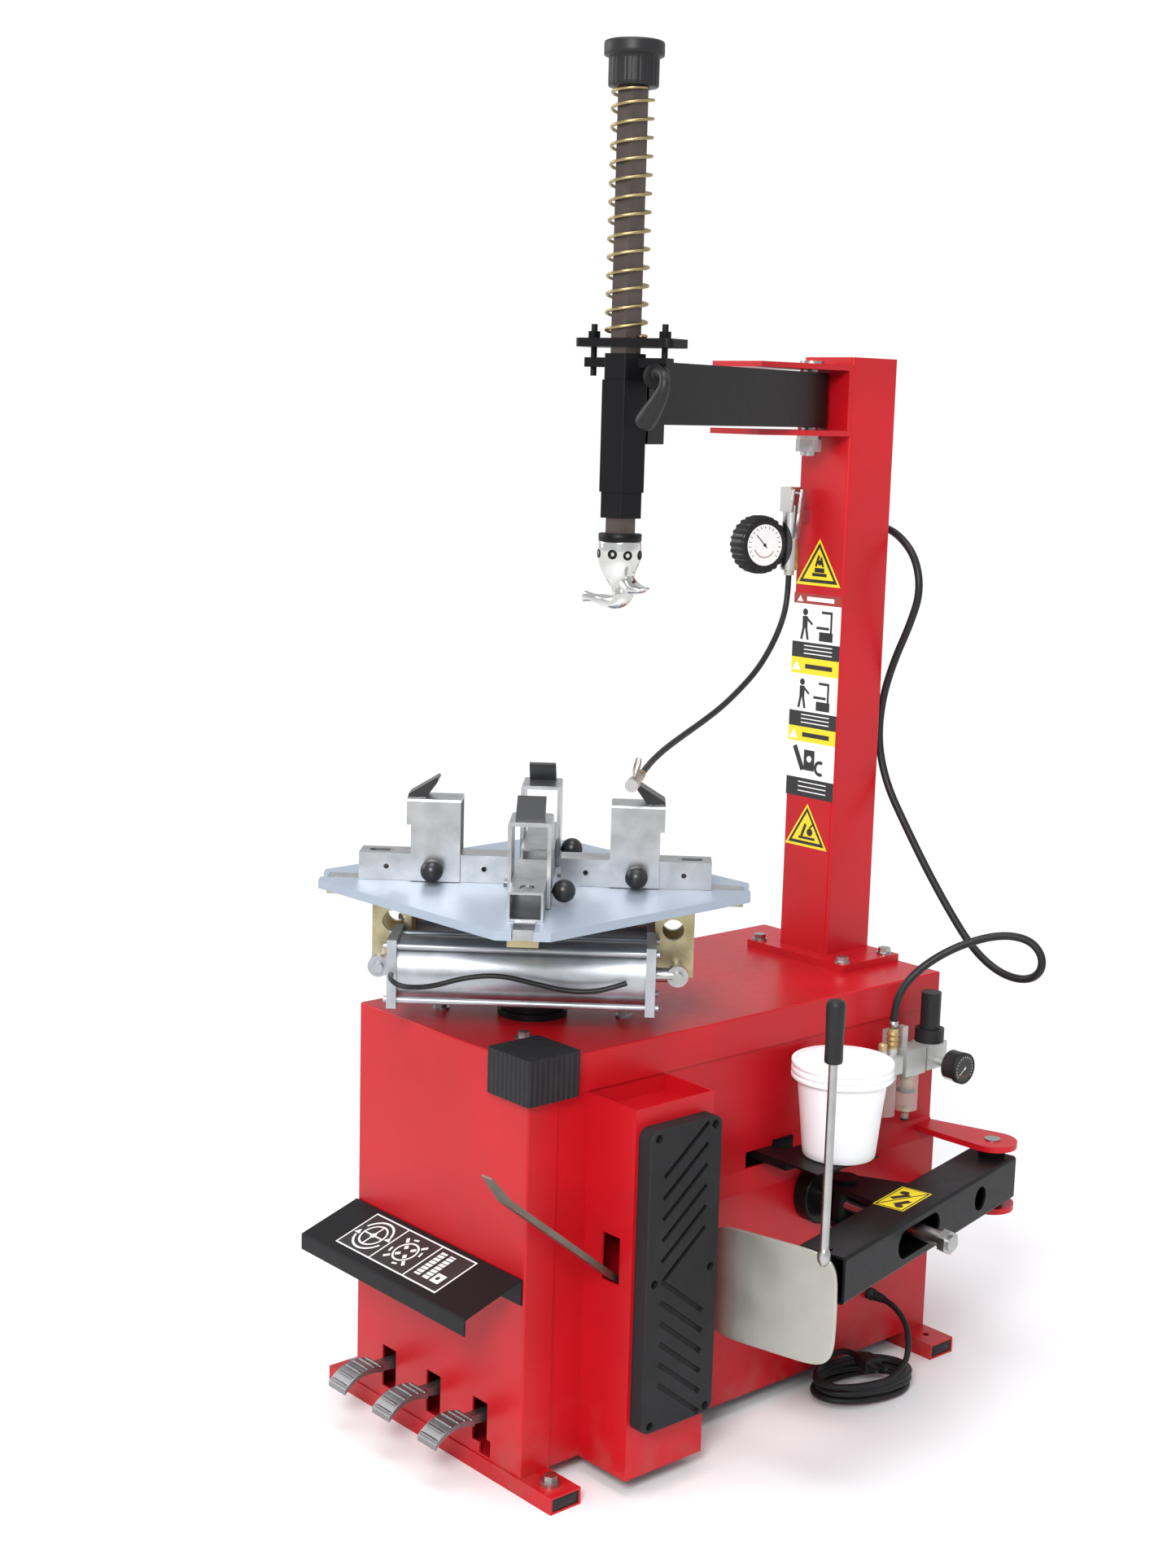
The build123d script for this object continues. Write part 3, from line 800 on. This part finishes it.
outline = [(BLADE_IN + 14, BLADE_TOP), (BLADE_OUT - CUT, BLADE_TOP), (BLADE_OUT, BLADE_TOP - CUT),
           (BLADE_OUT, BLADE_LOW + CUT * 0.8), (BLADE_OUT - CUT * 0.8, BLADE_LOW),
           (BLADE_IN + 16, BLADE_LOW), (BLADE_IN, BLADE_LOW + 18), (BLADE_IN, BLADE_TOP - 16)]
mask = extrude(Plane(origin=(400, 0, 0), x_dir=(0, 1, 0), z_dir=(1, 0, 0)) *
               make_face(Polyline(*outline, close=True).edges()), 300)
blade &= mask
blade += block(BLADE_PIN_U, BLADE_MID_U - BLADE_THICK + 2, -10, 10, BREAKER_MID - 22, BREAKER_MID + 22)
blade += upright(BLADE_PIN_U, 0, BREAKER_MID - 26, BREAKER_MID + 26, 15)
blade -= upright(BLADE_PIN_U, 0, BREAKER_LOW, BREAKER_TOP, 8 + RUN)
handle_u = BLADE_MID_U + BLADE_BOW - BLADE_THICK / 2
handle = upright(handle_u, HANDLE_V, BLADE_TOP - 4, HANDLE_TOP - 8, HANDLE_RADIUS)
grip = fillet(upright(handle_u, HANDLE_V, HANDLE_TOP - 85, HANDLE_TOP, 13).edges(), 5)
grip -= upright(handle_u, HANDLE_V, HANDLE_TOP - 90, HANDLE_TOP - 8, HANDLE_RADIUS)
save("breaker_blade", on_breaker(group(blade + handle, grip)))

# --- air unit ---------------------------------------------------------------------------------------------------
AIR_HEAD = 17.0
air = block(AIR_X - AIR_HEAD, AIR_X + AIR_HEAD, LUBRICATOR_Y - 18, LUBRICATOR_Y + 18, AIR_Z - 12, AIR_Z + 14)
air += block(AIR_X - AIR_HEAD, AIR_X + AIR_HEAD, FILTER_Y - 22, FILTER_Y + 22, AIR_Z - 20, AIR_Z + 20)
air += block(AIR_X - AIR_HEAD, AIR_X + AIR_HEAD, REGULATOR_Y - 22, REGULATOR_Y + 22, AIR_Z - 18, AIR_Z + 21)
air += rod((AIR_X, LUBRICATOR_Y, AIR_Z), (AIR_X, REGULATOR_Y, AIR_Z), 11)
air += block(SHELL_RIGHT, AIR_X - 4, FILTER_Y - 14, FILTER_Y - 2, AIR_Z + 20, AIR_Z + 40)
air += block(AIR_X - 12, AIR_X, FILTER_Y - 14, FILTER_Y - 2, AIR_Z + 10, AIR_Z + 52)
air += rod((AIR_X, REGULATOR_Y, AIR_Z - 6), (AIR_X + 46, REGULATOR_Y, AIR_Z - 6), 6)
air += rod((AIR_X + 44, REGULATOR_Y, AIR_Z - 6), (AIR_X + 70, REGULATOR_Y, AIR_Z - 6), 23)
BARB_Y, BARB_TOP = LUBRICATOR_Y + 12.0, 550.0
air += upright(AIR_X, BARB_Y, AIR_Z + 10, BARB_TOP - 10, 8)
filter_bowl = upright(AIR_X, FILTER_Y, AIR_Z - 76, AIR_Z - 20, 18) + upright(AIR_X, FILTER_Y, AIR_Z - 94, AIR_Z - 76, 6)
oil_bowl = upright(AIR_X, LUBRICATOR_Y, AIR_Z - 76, AIR_Z - 12, 16)
dome = fillet(upright(AIR_X, LUBRICATOR_Y - 10, AIR_Z + 14, AIR_Z + 36, 7).edges().sort_by(Axis.Z)[-1], 5)
save("air_unit", group(air, filter_bowl, oil_bowl, dome))
bonnet_z = AIR_Z + 21
bonnet = upright(AIR_X, REGULATOR_Y, bonnet_z, bonnet_z + 20, 22) + upright(AIR_X, REGULATOR_Y, bonnet_z, 582, 15)
save("regulator_knob", bonnet)

# --- grease bucket on its bracket -----------------------------------------------------------------------------------
BUCKET_WALL = 2.5
LID_DROP = 27.0
LID_THICK = 2.5
bucket_rim = BUCKET_TOP - LID_THICK - 0.3
outer = loft([Pos(BUCKET_X, BUCKET_Y, BUCKET_BOTTOM) * Circle(BUCKET_FOOT_RADIUS),
              Pos(BUCKET_X, BUCKET_Y, bucket_rim) * Circle(BUCKET_TOP_RADIUS)])
inner_shape = loft([Pos(BUCKET_X, BUCKET_Y, BUCKET_BOTTOM + BUCKET_WALL) * Circle(BUCKET_FOOT_RADIUS - BUCKET_WALL),
                    Pos(BUCKET_X, BUCKET_Y, bucket_rim + 0.01) * Circle(BUCKET_TOP_RADIUS - BUCKET_WALL)])
save("bucket", outer - inner_shape)
lid = upright(BUCKET_X, BUCKET_Y, BUCKET_TOP - LID_DROP, BUCKET_TOP, LID_RADIUS)
lid = fillet(lid.edges().sort_by(Axis.Z)[-1], 2)
lid -= upright(BUCKET_X, BUCKET_Y, 0, BUCKET_TOP - LID_THICK, BUCKET_TOP_RADIUS + 1.0)
save("bucket_lid", lid)
holder = block(SHELL_RIGHT - 20, BUCKET_X - 20, HOLDER_Y0, HOLDER_Y1, HOLDER_Z0, HOLDER_Z1 - 3)
holder += block(SHELL_RIGHT + 24, BUCKET_X + 40, HOLDER_Y0, BUCKET_Y + 40, HOLDER_Z1 - 3, HOLDER_Z1)
holder += block(SHELL_RIGHT, SHELL_RIGHT + 24, HOLDER_Y0, HOLDER_Y1, HOLDER_Z1 - 3, HOLDER_Z1)
holder += block(SHELL_RIGHT, SHELL_RIGHT + 3, HOLDER_Y1, HOLDER_Y1 + 40, HOLDER_Z0, HOLDER_Z1 + 8)
holder += block(SHELL_RIGHT + 3, SHELL_RIGHT + 30, HOLDER_Y1 - 3, HOLDER_Y1 + 3, HOLDER_Z0, HOLDER_Z1)
save("bucket_holder", holder)

# --- inflator on the column ------------------------------------------------------------------------------------------
column_front = COLUMN_Y - COLUMN_SIDE / 2
inflator = upright(INFLATOR_X, INFLATOR_Y, INFLATOR_Z - 38, INFLATOR_Z + 60, 13)
inflator += block(INFLATOR_X - 11, INFLATOR_X + 11, INFLATOR_Y - 14, INFLATOR_Y + 12, INFLATOR_Z + 50, INFLATOR_Z + 87)
inflator += rod((INFLATOR_X, INFLATOR_Y, INFLATOR_Z), (INFLATOR_X - 18, INFLATOR_Y - 40, INFLATOR_Z), 9)
GAUGE_TURN = -12.0          # its face looks along +X, a little toward the operator
gauge_way = Vector(cos(radians(GAUGE_TURN)), sin(radians(GAUGE_TURN)), 0)
dial_centre = Vector(-38.0, 468.0, INFLATOR_Z)
gauge = rod(tuple(dial_centre - gauge_way * 34), tuple(dial_centre), 41)
gauge = fillet(gauge.edges(), 5)
inflator += gauge
inflator += block(INFLATOR_X - 9, INFLATOR_X + 9, INFLATOR_Y + 8, column_front, INFLATOR_Z + 34, INFLATOR_Z + 52)
inflator += upright(INFLATOR_X, INFLATOR_Y, INFLATOR_Z - 46, INFLATOR_Z - 38, 8)
TRIGGER_Y, TRIGGER_Z = INFLATOR_Y + 3, INFLATOR_Z + 78
inflator += rod((INFLATOR_X + 10, TRIGGER_Y, TRIGGER_Z), (INFLATOR_X + 22, TRIGGER_Y, TRIGGER_Z), 2.5)
trigger_plane = Plane(origin=(INFLATOR_X + 17, 0, 0), x_dir=(0, 1, 0), z_dir=(1, 0, 0))
trigger_outline = [(INFLATOR_Y - 10, INFLATOR_Z + 10), (INFLATOR_Y - 4, INFLATOR_Z + 10), (INFLATOR_Y + 8, INFLATOR_Z + 84),
                   (INFLATOR_Y, INFLATOR_Z + 84)]
trigger = extrude(trigger_plane * make_face(Polyline(*trigger_outline, close=True).edges()), 5)
trigger -= rod((INFLATOR_X + 10, TRIGGER_Y, TRIGGER_Z), (INFLATOR_X + 30, TRIGGER_Y, TRIGGER_Z), 2.5 + RUN)
save("inflator_trigger", trigger)

HOSE_RADIUS = 4.5
HOSE_ELBOW = (INFLATOR_X - 18, INFLATOR_Y + 18, 1286)
CHUCK_X, CHUCK_Y, CHUCK_Z = 150.0, 50.0, 948.0
hose_start = (INFLATOR_X, INFLATOR_Y, INFLATOR_Z - 46)
hose_route = [hose_start, (INFLATOR_X, INFLATOR_Y, 1152), (-28, 500, 1114), (-17, 466, 1080), (-4, 426, 1052),
              (12, 374, 1028), (28, 324, 1009), (45, 268, 993), (64, 212, 980), (86, 158, 969), (110, 112, 960),
              (130, 80, 953), (CHUCK_X, CHUCK_Y, CHUCK_Z)]
hose = cord_tube(hose_route, HOSE_RADIUS)
save("inflator_hose", hose)
elbow_way = Vector(*HOSE_ELBOW) - Vector(-66, 555.7, 1286)
elbow_root = Vector(*HOSE_ELBOW) + elbow_way.normalized() * 20
inflator += rod(tuple(elbow_root), HOSE_ELBOW, 7.5)
hose_way = Vector(*hose_route[-1]) - Vector(*hose_route[-2])
hose_way = hose_way.normalized()
chuck_start = Vector(CHUCK_X, CHUCK_Y, CHUCK_Z)
chuck = rod(tuple(chuck_start), tuple(chuck_start + hose_way * 26), 7)
chuck += rod(tuple(chuck_start + hose_way * 26), tuple(chuck_start + hose_way * 40), 9)
save("inflator", group(inflator, chuck))

SUPPLY_RADIUS = 6.0
SUPPLY_Y = COLUMN_Y + COLUMN_SIDE / 2 + SUPPLY_RADIUS + 3
supply_route = [(AIR_X, BARB_Y, BARB_TOP - 10), (AIR_X, BARB_Y, 572), (234, BARB_Y + 11, 606), (254, 548, 640),
                (284, 588, 668), (320, 630, 684), (352, 656, 680), (372, 664, 660), (374, 664, 636),
                (356, 664, 618), (324, 664, 612), (286, 662, 620), (244, 660, 646), (198, SUPPLY_Y, 694),
                (150, SUPPLY_Y, 750), (104, SUPPLY_Y, 810), (62, SUPPLY_Y, 868), (40, SUPPLY_Y, 932),
                (44, SUPPLY_Y, 1000), (64, SUPPLY_Y, 1062), (92, SUPPLY_Y, 1120), (108, SUPPLY_Y + 2, 1172),
                (92, SUPPLY_Y + 6, 1222), (52, SUPPLY_Y + 12, 1254), (10, SUPPLY_Y + 18, 1266),
                (-28, SUPPLY_Y + 18, 1270), (-60, 667, 1272), (-77, 644, 1274), (-80, 614, 1277),
                (-76, 584, 1281), (-66, 555.7, 1286), HOSE_ELBOW]
save("supply_hose", cord_tube(supply_route, SUPPLY_RADIUS))

# --- mains cord -------------------------------------------------------------------------------------------------------
HANK_X, HANK_Y = 264.0, 436.0
HANK_LONG, HANK_WIDE, HANK_HIGH = 190.0, 110.0, 40.0
hank = Pos(HANK_X, HANK_Y, 0) * turned(extrude(SlotOverall(HANK_LONG, HANK_WIDE), HANK_HIGH), 80)
hank = fillet(hank.edges(), 10)
core = Pos(HANK_X, HANK_Y, 0) * turned(extrude(SlotOverall(HANK_LONG - 76, HANK_WIDE - 76), HANK_HIGH), 80)
hank -= core
save("cord_hank", hank)
cord_exit = (SHELL_RIGHT + LEDGE + 6, CABLE_Y, CABLE_Z)
cord_route = [cord_exit, (232, CABLE_Y, CABLE_Z), (256, CABLE_Y - 1, 102), (271, CABLE_Y - 4, 82),
              (277, CABLE_Y - 7, 60), (277, CABLE_Y - 7, HANK_HIGH)]
save("power_cord", cord_tube(cord_route, CABLE_RADIUS))
gland = rod((SHELL_RIGHT + LEDGE - SHEET - 4, CABLE_Y, CABLE_Z), (SHELL_RIGHT + LEDGE + 6, CABLE_Y, CABLE_Z), GLAND_RADIUS)
save("cord_gland", gland)

# --- mains plug, lying across the hank -----------------------------------------------------------------------------------
PLUG_LENGTH = 38.0
plug_rear = Vector(252, 438, HANK_HIGH + 11.1)
plug_way = Vector(cos(radians(-10)), sin(radians(-10)), 0)
rear_plane = Plane(origin=tuple(plug_rear), z_dir=tuple(plug_way), x_dir=(0, 0, 1))
front_plane = rear_plane.offset(PLUG_LENGTH)
plug = loft([rear_plane * RectangleRounded(14, 14, 4), rear_plane.offset(16) * RectangleRounded(22, 26, 5),
             front_plane * RectangleRounded(22, 30, 5)], ruled=True)
for side in (-1, 1):
    plug += front_plane * Pos(0, side * 9, 0) * extrude(Circle(2.4), 19)
save("mains_plug", plug)
